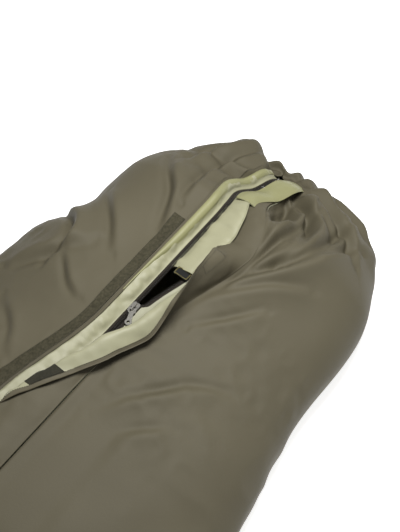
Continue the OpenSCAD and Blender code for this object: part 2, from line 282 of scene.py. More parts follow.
def even(line, count):
    """Points evenly spaced along a polyline."""
    d = np.concatenate([[0], np.cumsum(np.linalg.norm(np.diff(line, axis=0), axis=1))])
    at = np.linspace(0, d[-1], count)
    return np.stack([np.interp(at, d, line[:, c]) for c in range(line.shape[1])], axis=1)


def resample(points, count):
    """Points evenly spaced along each row of a grid of polylines."""
    return np.stack([even(row, count) for row in points])


def spline(points, count):
    """A smooth curve through the control points, as count points."""
    c = np.array(points, float)
    t = np.linspace(0, len(c) - 1, count)
    k = np.clip(t.astype(int), 0, len(c) - 2)
    f = (t - k)[:, None]
    p0, p1 = c[np.maximum(k - 1, 0)], c[k]
    p2, p3 = c[k + 1], c[np.minimum(k + 2, len(c) - 1)]
    square = (2 * p0 - 5 * p1 + 4 * p2 - p3) * f**2
    cube = (3 * p1 - p0 - 3 * p2 + p3) * f**3
    return 0.5 * (2 * p1 + (p2 - p0) * f + square + cube)


def stitches(name, lines, material, pitch=0.0034, length=0.0025, radius=0.00042, body="sack"):
    """Rows of raised stitches: each line is a run of points already lying on the cloth."""
    verts, faces = [], []
    ring = 6
    for line in lines:
        line = np.asarray(line, float)
        d = np.concatenate([[0], np.cumsum(np.linalg.norm(np.diff(line, axis=0), axis=1))])
        for s in np.arange(pitch / 2, d[-1], pitch):
            ends = [[np.interp(s + e * length / 2, d, line[:, c]) for c in range(3)] for e in (-1, 1)]
            a, b = np.array(ends)
            t = b - a
            size = np.linalg.norm(t)
            if size < 1e-6:
                continue
            t = t / size
            side = np.cross(t, [0.0, 0.0, 1.0])
            if np.linalg.norm(side) < 1e-3:
                side = np.array([1.0, 0, 0])
            side /= np.linalg.norm(side)
            up = np.cross(side, t)
            base = len(verts)
            verts.append(a)
            for f in (0.22, 0.78):
                for q in range(ring):
                    an = 2 * math.pi * q / ring
                    verts.append(a + t * size * f + radius * (math.cos(an) * side + math.sin(an) * up))
            verts.append(b)
            for q in range(ring):
                w = (q + 1) % ring
                faces.append((base, base + 1 + w, base + 1 + q))
                faces.append((base + 1 + q, base + 1 + w, base + 1 + ring + w, base + 1 + ring + q))
                faces.append((base + 1 + ring + q, base + 1 + ring + w, base + 1 + 2 * ring))
    obj = make_object(name, verts, faces, [material])
    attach(obj, body)
    return obj


# ---------------------------------------------------------------- materials
def new_material(name, color, rough, vary=0.12, blotch=0.06):
    """A principled material whose colour drifts a little over the cloth. Returns (material, nodes)."""
    mat = bpy.data.materials.new(name)
    mat.use_nodes = True
    nt = mat.node_tree
    shader = nt.nodes["Principled BSDF"]
    shader.inputs["Roughness"].default_value = rough
    coord = nt.nodes.new("ShaderNodeTexCoord")
    large = nt.nodes.new("ShaderNodeTexNoise")
    large.inputs["Scale"].default_value = 1 / blotch
    large.inputs["Detail"].default_value = 5
    nt.links.new(coord.outputs["Object"], large.inputs["Vector"])
    ramp = nt.nodes.new("ShaderNodeValToRGB")
    for stop, position, share in ((0, 0.3, 1 - vary), (1, 0.7, 1 + vary)):
        ramp.color_ramp.elements[stop].position = position
        ramp.color_ramp.elements[stop].color = [min(1, c * share) for c in color] + [1]
    nt.links.new(large.outputs["Fac"], ramp.inputs["Fac"])
    nt.links.new(ramp.outputs["Color"], shader.inputs["Base Color"])
    materials[name] = mat
    return mat, {"tree": nt, "shader": shader, "coord": coord}


def weave_bump(parts, pitch, strength, distance=0.0004, space="UV", fine=True):
    """Bump of threads crossing at right angles, with a fine uneven grain on top."""
    nt = parts["tree"]
    mapping = nt.nodes.new("ShaderNodeMapping")
    per_metre = 2 * math.pi / pitch
    mapping.inputs["Scale"].default_value = (per_metre, per_metre, per_metre)
    nt.links.new(parts["coord"].outputs[space], mapping.inputs["Vector"])
    split = nt.nodes.new("ShaderNodeSeparateXYZ")
    nt.links.new(mapping.outputs["Vector"], split.inputs["Vector"])
    waves = []
    for axis in ("X", "Y"):
        wave = nt.nodes.new("ShaderNodeMath")
        wave.operation = "SINE"
        nt.links.new(split.outputs[axis], wave.inputs[0])
        waves.append(wave)
    weave = nt.nodes.new("ShaderNodeMath")
    weave.operation = "MULTIPLY"
    nt.links.new(waves[0].outputs[0], weave.inputs[0])
    nt.links.new(waves[1].outputs[0], weave.inputs[1])
    bump = nt.nodes.new("ShaderNodeBump")
    bump.inputs["Strength"].default_value = strength
    bump.inputs["Distance"].default_value = distance
    nt.links.new(weave.outputs[0], bump.inputs["Height"])
    last = bump
    if fine:
        grain = nt.nodes.new("ShaderNodeTexNoise")
        grain.inputs["Scale"].default_value = 240
        grain.inputs["Detail"].default_value = 6
        nt.links.new(parts["coord"].outputs["Object"], grain.inputs["Vector"])
        crumple = nt.nodes.new("ShaderNodeBump")
        crumple.inputs["Strength"].default_value = 0.25
        crumple.inputs["Distance"].default_value = 0.0006
        nt.links.new(grain.outputs["Fac"], crumple.inputs["Height"])
        nt.links.new(bump.outputs["Normal"], crumple.inputs["Normal"])
        last = crumple
    nt.links.new(last.outputs["Normal"], parts["shader"].inputs["Normal"])
    return last


def crease_bump(parts, last, size=0.05, distance=0.002):
    """Soft creases a few centimetres apart, for cloth that has been packed away."""
    nt = parts["tree"]
    tex = nt.nodes.new("ShaderNodeTexNoise")
    tex.noise_type = "RIDGED_MULTIFRACTAL"
    tex.inputs["Scale"].default_value = 1 / size
    tex.inputs["Detail"].default_value = 3
    nt.links.new(parts["coord"].outputs["Object"], tex.inputs["Vector"])
    bump = nt.nodes.new("ShaderNodeBump")
    bump.inputs["Strength"].default_value = 0.35
    bump.inputs["Distance"].default_value = distance
    nt.links.new(tex.outputs["Fac"], bump.inputs["Height"])
    nt.links.new(last.outputs["Normal"], bump.inputs["Normal"])
    nt.links.new(bump.outputs["Normal"], parts["shader"].inputs["Normal"])


OLIVE = (0.099, 0.087, 0.055)
_, parts = new_material("OliveCloth", OLIVE, 0.64, vary=0.05, blotch=0.16)
parts["shader"].inputs["Specular IOR Level"].default_value = 0.26
crease_bump(parts, weave_bump(parts, 0.0008, 0.18), size=0.07, distance=0.0030)
_, parts = new_material("Base", (0.080, 0.074, 0.050), 0.62, vary=0.07, blotch=0.2)
crease_bump(parts, weave_bump(parts, 0.0010, 0.3), size=0.08, distance=0.002)
PALE = (0.315, 0.307, 0.196)
_, parts = new_material("Lining", PALE, 0.50, vary=0.05, blotch=0.05)
parts["shader"].inputs["Specular IOR Level"].default_value = 0.45
crease_bump(parts, weave_bump(parts, 0.0009, 0.12), size=0.022, distance=0.0016)
_, parts = new_material("LiningWarm", (0.262, 0.257, 0.124), 0.50, vary=0.05, blotch=0.05)
crease_bump(parts, weave_bump(parts, 0.0009, 0.12), size=0.022, distance=0.0016)
_, parts = new_material("LiningPale", (0.310, 0.305, 0.210), 0.50, vary=0.05, blotch=0.04)
crease_bump(parts, weave_bump(parts, 0.0009, 0.12), size=0.018, distance=0.0016)
_, parts = new_material("LoopPile", (0.116, 0.105, 0.066), 0.95, vary=0.30, blotch=0.004)
parts["shader"].inputs["Specular IOR Level"].default_value = 0.15
weave_bump(parts, 0.0013, 0.9, distance=0.0009)
_, parts = new_material("HookTape", (0.060, 0.056, 0.033), 0.70, vary=0.2, blotch=0.003)
weave_bump(parts, 0.0016, 1.0, distance=0.0010)
_, parts = new_material("ZipTape", (0.030, 0.023, 0.016), 0.75, vary=0.15, blotch=0.02)
weave_bump(parts, 0.0012, 0.8, distance=0.0006)
_, parts = new_material("ZipCoil", (0.020, 0.016, 0.012), 0.38, vary=0.1, blotch=0.02)
weave_bump(parts, 0.0008, 0.1, space="Object")
_, parts = new_material("LabelBlack", (0.013, 0.013, 0.012), 0.70, vary=0.2, blotch=0.004)
weave_bump(parts, 0.0005, 0.8, distance=0.0003)
_, parts = new_material("LabelEdge", (0.480, 0.400, 0.110), 0.65, vary=0.1, blotch=0.004)
weave_bump(parts, 0.0005, 0.5, distance=0.0003, space="Object")
_, parts = new_material("ThreadOlive", (0.085, 0.078, 0.052), 0.60, vary=0.1, blotch=0.01)
weave_bump(parts, 0.0006, 0.3, space="Object", fine=False)
_, parts = new_material("ThreadPale", (0.330, 0.330, 0.200), 0.60, vary=0.1, blotch=0.01)
weave_bump(parts, 0.0006, 0.3, space="Object", fine=False)
_, parts = new_material("SeamTape", (0.20, 0.20, 0.17), 0.45, vary=0.06, blotch=0.03)
weave_bump(parts, 0.0010, 0.3)
nickel, parts = new_material("Nickel", (0.230, 0.222, 0.200), 0.24, vary=0.10, blotch=0.003)
parts["shader"].inputs["Metallic"].default_value = 1.0
wear = parts["tree"].nodes.new("ShaderNodeTexNoise")
wear.inputs["Scale"].default_value = 420
wear.inputs["Detail"].default_value = 8
parts["tree"].links.new(parts["coord"].outputs["Object"], wear.inputs["Vector"])
wear_range = parts["tree"].nodes.new("ShaderNodeMapRange")
wear_range.inputs["To Min"].default_value = 0.24
wear_range.inputs["To Max"].default_value = 0.42
parts["tree"].links.new(wear.outputs["Fac"], wear_range.inputs["Value"])
parts["tree"].links.new(wear_range.outputs["Result"], parts["shader"].inputs["Roughness"])
scratch = parts["tree"].nodes.new("ShaderNodeBump")
scratch.inputs["Strength"].default_value = 0.15
scratch.inputs["Distance"].default_value = 0.0002
parts["tree"].links.new(wear.outputs["Fac"], scratch.inputs["Height"])
parts["tree"].links.new(scratch.outputs["Normal"], parts["shader"].inputs["Normal"])


# ---------------------------------------------------------------- shell
def edge_y(x, side):
    """Upper edge of a top panel: its distance from y = 0."""
    open_edge = far_edge(x) + zip_y(x) if side > 0 else near_edge(x) - zip_y(x)
    closed = smooth((x - CHAIN_START + 0.030) / 0.018) * (1 - smooth((x - CHAIN_END + 0.004) / 0.020))
    return SEAM_GAP + (open_edge - SEAM_GAP) * closed


NEAR_FOLDS = [
    # path, height, width, skew; the valley lies to the right of the path's way along
    ([(1.01, -0.206), (0.948, -0.186), (0.904, -0.166), (0.857, -0.135), (0.770, -0.076)], 0.013, 0.018, 1.0),
    ([(0.80, -0.077), (0.881, -0.087), (0.922, -0.093), (0.977, -0.102), (1.05, -0.095)], 0.010, 0.013, 1.0),
    ([(0.80, -0.062), (0.90, -0.062), (0.98, -0.058), (1.06, -0.050)], 0.007, 0.010, 0.8),
    ([(1.06, -0.168), (1.008, -0.175), (0.966, -0.174), (0.900, -0.152)], 0.009, 0.013, 1.0),
    ([(0.875, -0.195), (0.839, -0.151), (0.753, -0.079)], 0.006, 0.014, 0.8),
    ([(0.80, -0.165), (0.765, -0.142), (0.712, -0.100)], 0.005, 0.012, 0.8),
    ([(1.085, -0.050), (1.05, -0.100), (1.01, -0.135), (0.95, -0.150), (0.89, -0.140)], 0.011, 0.014, 1.0),
    ([(1.095, -0.070), (1.075, -0.130), (1.05, -0.175), (1.00, -0.215)], 0.011, 0.015, 0.8),
    ([(1.10, -0.100), (1.09, -0.150), (1.07, -0.190)], 0.009, 0.013, 0.8),
    ([(0.93, -0.120), (0.87, -0.108), (0.81, -0.095)], 0.007, 0.011, 1.0),
    ([(0.98, -0.135), (0.92, -0.130), (0.86, -0.112)], 0.006, 0.010, 1.0),
    ([(0.62, -0.150), (0.57, -0.105), (0.52, -0.075)], 0.005, 0.013, 0.8),
    ([(0.56, -0.170), (0.51, -0.120), (0.47, -0.085)], 0.005, 0.012, 0.8),
    ([(0.66, -0.200), (0.63, -0.150), (0.58, -0.115)], 0.004, 0.013, 0.8),
]
FAR_FOLDS = [
    ([(0.99, 0.150), (0.96, 0.130), (0.91, 0.085), (0.83, 0.050)], 0.008, 0.016, 0.9),
    ([(0.80, 0.240), (0.78, 0.190), (0.74, 0.165), (0.69, 0.175)], 0.012, 0.016, 1.0),
    ([(0.66, 0.245), (0.71, 0.200), (0.75, 0.150)], 0.008, 0.018, 0.8),
    ([(1.09, 0.030), (1.04, 0.060), (0.98, 0.068), (0.90, 0.058)], 0.008, 0.014, 0.9),
    ([(1.09, 0.060), (1.04, 0.100), (0.97, 0.120)], 0.008, 0.015, 0.8),
    ([(0.86, 0.185), (0.80, 0.125), (0.76, 0.095)], 0.006, 0.015, 0.8),
    ([(0.71, 0.155), (0.67, 0.112), (0.66, 0.085)], 0.005, 0.011, 0.8),
    ([(0.60, 0.190), (0.57, 0.140), (0.53, 0.110)], 0.004, 0.013, 0.8),
]
GATHER = np.array([1.085, -0.02, 0.09])


def shell_displacement(p, side):
    """How far each point of the shell stands out from the plain section."""
    d = 0.006 * noise(p, 0.16, 1) + 0.003 * noise(p, 0.07, 2)
    ridged = 1 - np.abs(noise(p, 0.055, 3)) * 2
    d += 0.0028 * ridged * smooth((noise(p, 0.20, 4) + 0.3) / 0.6)
    d += 0.0014 * (1 - 2 * np.abs(noise(p, 0.022, 5))) * smooth((noise(p, 0.15, 6) + 0.1) / 0.5)
    for path, height, width, skew in NEAR_FOLDS if side < 0 else FAR_FOLDS:
        d += fold(p, path, 1.35 * height, width, skew)
    under_flap = (1 - smooth((p[:, 0] - 0.50) / 0.08)) * (1 - smooth((np.abs(p[:, 1]) - 0.11) / 0.03))
    d -= np.maximum(d, 0) * under_flap * (side < 0)
    away = p - GATHER
    r = np.linalg.norm(away, axis=1)
    turn = np.arctan2(away[:, 1], away[:, 0] + 0.02) + 0.5 * noise(p, 0.12, 7)
    d += 0.0050 * np.cos(11 * turn) * np.exp(-(((r - 0.07) / 0.06) ** 2))
    d += 0.0035 * np.cos(17 * turn + 1) * np.exp(-(((r - 0.12) / 0.07) ** 2))
    return d


BULGES = [
    # x, y, z, radius, push; the near side's, then the far side's
    (1.115, -0.03, 0.06, 0.050, 0.010),
    (1.10, -0.09, 0.07, 0.040, 0.010),
    (0.985, -0.066, 0.15, 0.030, -0.022),
    (1.025, -0.058, 0.14, 0.030, -0.022),
    (1.065, -0.050, 0.11, 0.026, -0.018),
    (1.00, -0.27, 0.05, 0.06, -0.008),
    (0.70, -0.30, 0.06, 0.20, -0.016),
    (1.105, 0.080, 0.09, 0.040, 0.036),
    (1.06, 0.11, 0.11, 0.085, 0.020),
    (0.99, 0.20, 0.08, 0.070, 0.010),
    (0.92, 0.24, 0.08, 0.050, -0.010),
    (0.835, 0.265, 0.09, 0.060, -0.034),
    (0.73, 0.29, 0.09, 0.070, 0.006),
    (0.55, 0.31, 0.09, 0.240, -0.034),
]


def bulges(p):
    """How far the cloth stands out from the section, or pulls in, at the places in BULGES."""
    d = np.zeros(len(p))
    for x, y, z, radius, push in BULGES:
        r = np.linalg.norm((p - np.array([x, y, z])) * [1, 1, 0.7], axis=1)
        d += push * np.exp(-((r / radius) ** 2))
    return d


CROWN = [
    # x, y, radius along x, radius along y, lift
    (1.112, 0.022, 0.018, 0.030, 0.026),
    (1.116, -0.030, 0.022, 0.036, 0.020),
]


def crown(p):
    """Lift of the bunched cloth at the hood end, which stands above the end of the zip."""
    total = np.zeros(p.shape[:-1])
    for x, y, rx, ry, height in CROWN:
        total += height * np.exp(-(((p[..., 0] - x) / rx) ** 2) - ((p[..., 1] - y) / ry) ** 2)
    beside_zip = smooth((np.abs(p[..., 1]) - 0.020) / 0.030)
    beyond_zip = smooth((p[..., 0] - 1.098) / 0.012)
    clear_of_zip = 1 - (1 - beside_zip) * (1 - beyond_zip)
    share = p[..., 2] / np.maximum(top_z(p[..., 0], p[..., 1]), 1e-3)
    return total * clear_of_zip * clamp01(share)


def closed_ends(g):
    """The grid with its first and last rows carried down to the base, which shuts the sack's ends."""

    def end(row, way):
        rows = []
        for s in (0.92, 0.75, 0.5, 0.25, 0.0):
            low = row.copy()
            low[:, 2] = LOWEST + (row[:, 2] - LOWEST) * s
            low[:, 0] = row[:, 0] + way * 0.0015 * math.sqrt(1 - s * s)
            rows.append(low)
        return rows

    return np.stack(end(g[0], -1)[::-1] + list(g) + end(g[-1], 1))


def shell_section(x, side):
    """One station's section, from the upper edge over the side to the base, finely divided."""
    e = 2 / SIDE_POW
    b, h = float(half_w(x, side)), float(ridge(x))
    zc = SIDE_MID * h
    edge = float(edge_y(x, side))
    a0 = math.acos(min(1.0, (edge / b) ** (1 / e))) if b > edge else 0.2
    upper = a0 * (1 - np.linspace(0, 1, 90))
    lower = np.linspace(0, math.pi / 2, 50)[1:]
    y = np.concatenate([b * np.cos(upper) ** e, b * (BASE_SHARE + (1 - BASE_SHARE) * np.cos(lower) ** e)])
    z = np.concatenate([zc + (h - zc) * np.sin(upper) ** e, zc - (zc - BASE_T) * np.sin(lower).clip(0) ** e])
    return np.column_stack([np.full(len(y), x), side * y, z])


head_x = END - 0.004 - (END - 0.004 - 0.90) * (1 - np.linspace(0, 1, 72)) ** 1.35
body_x = np.concatenate([stations(0.40, 0.90, 0.0042)[:-1], head_x])
foot_x = -HALF_LEN + 0.001 + 0.13 * np.linspace(0, 1, 26) ** 1.5
rest_x = stations(foot_x[-1], 0.40, 0.010)[1:-1]
SHELL_X = np.concatenate([foot_x, rest_x, body_x])
COLS = 110


def shell_grid(side):
    """One half of the shell; its displacement fades out at the edges, the zip's end and the foot."""
    rows = np.stack([shell_section(x, side) for x in SHELL_X])
    g = resample(rows, COLS)
    nrm = grid_normals(g) * (1 if side < 0 else -1)
    if nrm[len(SHELL_X) // 2, 5, 2] < 0:
        nrm = -nrm
    p = g.reshape(-1, 3)
    d = (shell_displacement(p, side) + bulges(p)).reshape(g.shape[:2])
    col = np.linspace(0, 1, COLS)[None, :]
    xs = SHELL_X[:, None]
    hood = smooth((xs - 0.94) / 0.03)
    behind = smooth((xs - CHAIN_END - 0.008) / 0.010)
    quiet = np.maximum(smooth(col / (0.05 - 0.025 * hood)), behind) * smooth((1 - col) / 0.10)
    quiet = quiet * smooth((xs + HALF_LEN) / 0.03)
    out = g + nrm * (d * quiet)[..., None]
    beside = out[:-2, 1:-1] + out[2:, 1:-1] + out[1:-1, :-2] + out[1:-1, 2:]
    out[1:-1, 1:-1] = (4 * out[1:-1, 1:-1] + beside) / 8
    out[..., 2] = np.maximum(out[..., 2] + crown(g), LOWEST)
    return out


near_shell, far_shell = shell_grid(-1), shell_grid(1)
for name, g, side, node in (
    ("shell_near", near_shell, -1, "top_panel_left"),
    ("shell_far", far_shell, 1, "top_panel_right"),
):
    up = 1 if grid_normals(g)[len(SHELL_X) // 2, 5, 2] > 0 else -1
    obj = sheet(name, closed_ends(g), ["OliveCloth", "Lining"], thick=0.0005, up=up)
    nodes = [node] + (["hood_end_panel"] if side < 0 else ["foot_panel"])
    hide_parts(*nodes)


def base_grid():
    """The base: one flat cloth a little uneven, seamed to the shell all round."""
    cols = np.linspace(-1, 1, 61)
    rows = []
    for x in SHELL_X[::2]:
        w = [float(BASE_SHARE * half_w(x, s)) for s in (-1, 1)]
        y = np.where(cols < 0, cols * w[0], cols * w[1])
        rows.append(np.column_stack([np.full(len(cols), x), y, np.full(len(cols), 0.0)]))
    g = np.stack(rows)
    p = g.reshape(-1, 3)
    puff = 0.0012 * (1 + noise(p, 0.09, 8)).reshape(g.shape[:2])
    rim = np.minimum(1, (1 - np.abs(cols)) * 8)[None, :]
    g[..., 2] = 0.0006 + puff * rim
    return g


base = sheet("base_sheet", base_grid(), ["Base", "Lining"], thick=0.001, up=-1)
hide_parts("base_panel")


# ---------------------------------------------------------------- cloth strips beside the zip
STRIP_X = np.concatenate([stations(CHAIN_START, 0.40, 0.010)[:-1], stations(0.40, CHAIN_END, 0.0035)])


def path_strip(xs, path, count):
    """Grid from a function that gives a section's (y, z) control points at x, evenly resampled."""
    rows = []
    for x in xs:
        controls = path(float(x))
        yz = spline(controls, 5 * len(controls))
        rows.append(np.column_stack([np.full(len(yz), x), yz]))
    return resample(np.stack(rows), count)


def ruffle(g, height, size, seed, keep_edges=True, stretch=(1, 1, 1)):
    """Small wrinkles across a strip, left out at its edges."""
    p = g.reshape(-1, 3) / np.array(stretch)
    d = height * (noise(p, size, seed) + 0.5 * noise(p, size / 2.2, seed + 1)).reshape(g.shape[:2])
    if keep_edges:
        col = np.linspace(0, 1, g.shape[1])[None, :]
        d = d * np.sin(np.pi * col) ** 0.6
    return g + grid_normals(g) * d[..., None]


def placket_path(x):
    """The placket's section: full beside the closed zip, standing higher beside the top of the mouth."""
    z, r = float(zip_z(x)), float(ridge(x))
    s, e, y = float(smooth((x - 0.775) / 0.05)), float(far_edge(x)), float(zip_y(x))
    inner_edge = (0.0080, z + 0.0010)
    full = [
        (1.02 * e, r + 0.0008),
        (0.84 * e, z + 0.0110),
        (0.64 * e, z + 0.0080),
        (0.43 * e, z + 0.0032),
        inner_edge,
    ]
    rolled = [
        (1.02 * e, r + 0.0010),
        (0.88 * e, z + 0.0155),
        (0.66 * e, z + 0.0130),
        (0.50 * e, z + 0.0036),
        inner_edge,
    ]
    return [(y + (1 - s) * a[0] + s * b[0], (1 - s) * a[1] + s * b[1]) for a, b in zip(full, rolled)]


plain = path_strip(STRIP_X, placket_path, 15)
placket = ruffle(plain, 0.0026, 0.022, 11, stretch=(0.6, 1.6, 1))
placket = plain + (placket - plain) * smooth((1 - np.linspace(0, 1, 15)) / 0.5)[None, :, None]
obj = sheet("placket", placket, ["Lining", "Lining"], up=-1)
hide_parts("right_placket")


def roll_path(x):
    """The placket's edge, rolled over on itself along the top of the opening."""
    z, r, e, y = float(zip_z(x)), float(ridge(x)), float(far_edge(x)), float(zip_y(x))
    s = 0.08 + 0.92 * float(smooth((x - 0.72) / 0.13))
    return [
        (y + 1.10 * e, r + 0.0012),
        (y + (1.10 - 0.12 * s) * e, r + 0.0012 + 0.0050 * s),
        (y + (1.10 - 0.34 * s) * e, r + 0.0012 + 0.0052 * s),
        (y + (1.10 - 0.50 * s) * e, r + 0.0010 + 0.0010 * s),
        (y + (1.10 - 0.52 * s) * e, s * (z + 0.0085) + (1 - s) * (r + 0.0010)),
    ]


roll = ruffle(path_strip(STRIP_X[STRIP_X > 0.70], roll_path, 13), 0.0010, 0.03, 19, stretch=(1.6, 0.6, 1))
obj = sheet("placket_roll", roll, ["LiningWarm", "LiningWarm"], up=-1)


def on_shell(x, y, lift):
    """A point on the built far or near shell at a station and distance from y = 0, in plan."""
    g = near_shell if y < 0 else far_shell
    i = int(np.clip(np.searchsorted(SHELL_X, x), 1, len(SHELL_X) - 1))
    f = (x - SHELL_X[i - 1]) / (SHELL_X[i] - SHELL_X[i - 1])
    row = g[i - 1] * (1 - f) + g[i] * f
    keep = row[: COLS // 2]
    z = np.interp(abs(y), np.abs(keep[:, 1]), keep[:, 2])
    return np.array([x, y, z + lift])


def shell_strip(xs, y0, y1, count, lift):
    return np.stack([[on_shell(x, y, lift) for y in np.linspace(y0(x), y1(x), count)] for x in xs])


def far_line(offset):
    """A line beside the far panel's edge; the hem widens a little with the placket."""
    return lambda x: float(far_edge(x) + zip_y(x) + offset * (1 + 12 * (far_edge(x) - 0.027)))


hem = shell_strip(STRIP_X, far_line(0.0002), far_line(0.0078), 5, 0.0012)
hem[:, 0, 2] += 0.0004
obj = sheet("far_hem", hem, ["OliveCloth", "OliveCloth"], thick=0.0014, up=-1)
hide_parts("right_edge_hem")
loop_x = STRIP_X[STRIP_X < 0.865]
loop = shell_strip(loop_x, far_line(0.0086), far_line(0.0300), 9, 0.0012)
obj = sheet("loop_tape", loop, ["LoopPile", "LoopPile"], thick=0.0014, up=-1)
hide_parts("loop_strip")


def seam_line(xs, y, lift):
    """A row of points on the far panel, for stitches along one line."""
    return shell_strip(xs, far_line(y), far_line(y + 1e-4), 2, lift)[:, 0]


far_seams = [seam_line(STRIP_X, y, 0.0022) for y in (0.0012, 0.0064)]
loop_seams = [seam_line(loop_x, y, 0.0024) for y in (0.0098, 0.0288)]
stitches("far_stitching", far_seams + loop_seams, "ThreadOlive")


def facing_path(x):
    z, y = float(zip_z(x)), float(zip_y(x))
    e, inner = y - float(near_edge(x)) - 0.003, y - 0.0086 - float(left_chain(x))
    r = float(top_z(x, e))
    return [
        (e, r - 0.0022),
        (e * 0.8 + inner * 0.2, z + 0.0050),
        (e * 0.4 + inner * 0.6, z + 0.0022),
        (inner, z + 0.0006),
    ]


facing = ruffle(path_strip(STRIP_X, facing_path, 19), 0.0014, 0.016, 13, stretch=(2.0, 0.45, 0.5))
obj = sheet("near_facing", facing, ["LiningPale", "Lining"], up=1)
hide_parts("left_facing")


# ---------------------------------------------------------------- zip
def zip_strip(side):
    def path(x):
        s, wide = (float(left_chain(x)), float(mouth(x))) if side < 0 else (0.0, 0.0)
        z, y = float(zip_z(x)), float(zip_y(x))
        return [
            (y + side * (0.0159 + wide), z),
            (y + side * (0.0105 + s), z - 0.0001),
            (y + side * (0.0040 + s), z),
        ]

    return path_strip(STRIP_X, path, 9)


for name, side, node in (("zip_tape_near", -1, "zip_tape_left"), ("zip_tape_far", 1, "zip_tape_right")):
    obj = sheet(name, zip_strip(side), ["ZipTape", "ZipTape"], thick=0.0009, up=-side)
    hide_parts(node)


def coil(name, side, low, high):
    """One row of coil loops: a flattened helix tube, one turn to each tooth."""
    pitch, per, ring, r = 0.0019, 8, 5, 0.00042
    turns = int((high - low) / pitch)
    t = np.arange(turns * per + 1)
    a = 2 * np.pi * t / per
    x = low + pitch * t / per
    z = zip_z(x)
    s = left_chain(x) if side < 0 else np.zeros_like(x)
    mid, half = (COIL_IN + COIL_OUT) / 2 - 0.0008, (COIL_OUT - COIL_IN) / 2 + 0.0008
    line = np.column_stack([x, zip_y(x) + side * (mid + half * np.cos(a) + s), z + 0.0010 * np.sin(a)])
    tan = np.gradient(line, axis=0)
    tan /= np.linalg.norm(tan, axis=1, keepdims=True)
    ref = np.array([1.0, 0, 0])
    n1 = np.cross(tan, ref)
    n1 /= np.linalg.norm(n1, axis=1, keepdims=True)
    n2 = np.cross(tan, n1)
    around = np.arange(ring) * 2 * np.pi / ring
    tube = [line[:, None] + r * (math.cos(q) * n1 + math.sin(q) * n2)[:, None] for q in around]
    verts = np.concatenate(tube, axis=1).reshape(-1, 3)
    faces = []
    for i in range(len(line) - 1):
        for q in range(ring):
            w = (q + 1) % ring
            faces.append((i * ring + q, i * ring + w, (i + 1) * ring + w, (i + 1) * ring + q))
    obj = make_object(name, verts, faces, ["ZipCoil"])
    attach(obj, "sack")
    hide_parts("zip_coil_left" if side < 0 else "zip_coil_right")


coil("coil_near", -1, CHAIN_START, CHAIN_END - 0.002)
coil("coil_far", 1, CHAIN_START + 0.00095, CHAIN_END - 0.001)


# ---------------------------------------------------------------- draft baffle, its corner and its label
BAFFLE_X = stations(0.788, 1.000, 0.003)


def baffle_path(x):
    z, y = float(zip_z(x)), float(zip_y(x))
    w = 0.038 + 0.012 * math.exp(-(((x - 0.875) / 0.040) ** 2)) - 0.008 * float(smooth((x - 0.92) / 0.05))
    steps = [
        (-w, 0.0105),
        (-w * 0.8, 0.0108),
        (-w * 0.5, 0.0075),
        (-0.008, 0.0032),
        (-0.001, -0.0010),
        (0.004, -0.0030),
        (0.014, -0.0030),
    ]
    return [(y + a, z + b) for a, b in steps]


baffle = path_strip(BAFFLE_X, baffle_path, 27)
baffle = ruffle(baffle, 0.0022, 0.026, 15, keep_edges=False, stretch=(0.55, 1.8, 1))
obj = sheet("draft_baffle_sheet", baffle, ["Lining", "Lining"], up=1)
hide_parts("draft_baffle")
edge_run = baffle[:, 1] + np.array([0, 0, 0.0009])
stitches("baffle_stitching", [edge_run], "ThreadPale", pitch=0.0030, radius=0.00036)
CORNER_X = stations(0.962, 1.100, 0.003)


def corner_path(x):
    w, y0 = 0.040 + 0.010 * float(smooth((x - 0.97) / 0.05)), float(zip_y(x))
    z = float(zip_z(x))
    steps = [(-w, 0.0095), (-w * 0.78, 0.0138), (-w * 0.45, 0.0125), (-0.003, 0.0042)]
    return [(y0 + a, z + b + 0.0015 * math.sin(60 * x + 80 * a)) for a, b in steps]


corner = ruffle(path_strip(CORNER_X, corner_path, 17), 0.0014, 0.03, 17)
obj = sheet("baffle_corner_sheet", corner, ["LiningWarm", "Lining"], up=1)
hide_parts("baffle_corner")


def label():
    """A blank woven label: black cloth with a narrow woven border, lying at the baffle's end with a slight
    ripple.
    """
    x0, x1, y0, y1 = 0.7745, 0.7895, -0.036, -0.010
    xs, ys = np.linspace(x0, x1, 12), np.linspace(y0, y1, 20)
    z = float(zip_z(ZIP_X)) + 0.0072

    def height(x, y):
        return z + 0.0006 * math.sin(260 * y) + 0.0005 * math.sin(180 * x)

    g = np.array([[(x, y, height(x, y)) for y in ys] for x in xs])
    obj = sheet("label", g, ["LabelBlack", "LabelBlack"], thick=0.0007, up=-1)
    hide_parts("woven_label")
    lift = np.array([0, 0, 0.0005])
    frame_lines = [g[1, 1:-1] + lift, g[-2, 1:-1] + lift, g[1:-1, 1] + lift, g[1:-1, -2] + lift]
    stitches("label_border", frame_lines, "LabelEdge", pitch=0.0009, length=0.0010, radius=0.00030)


label()

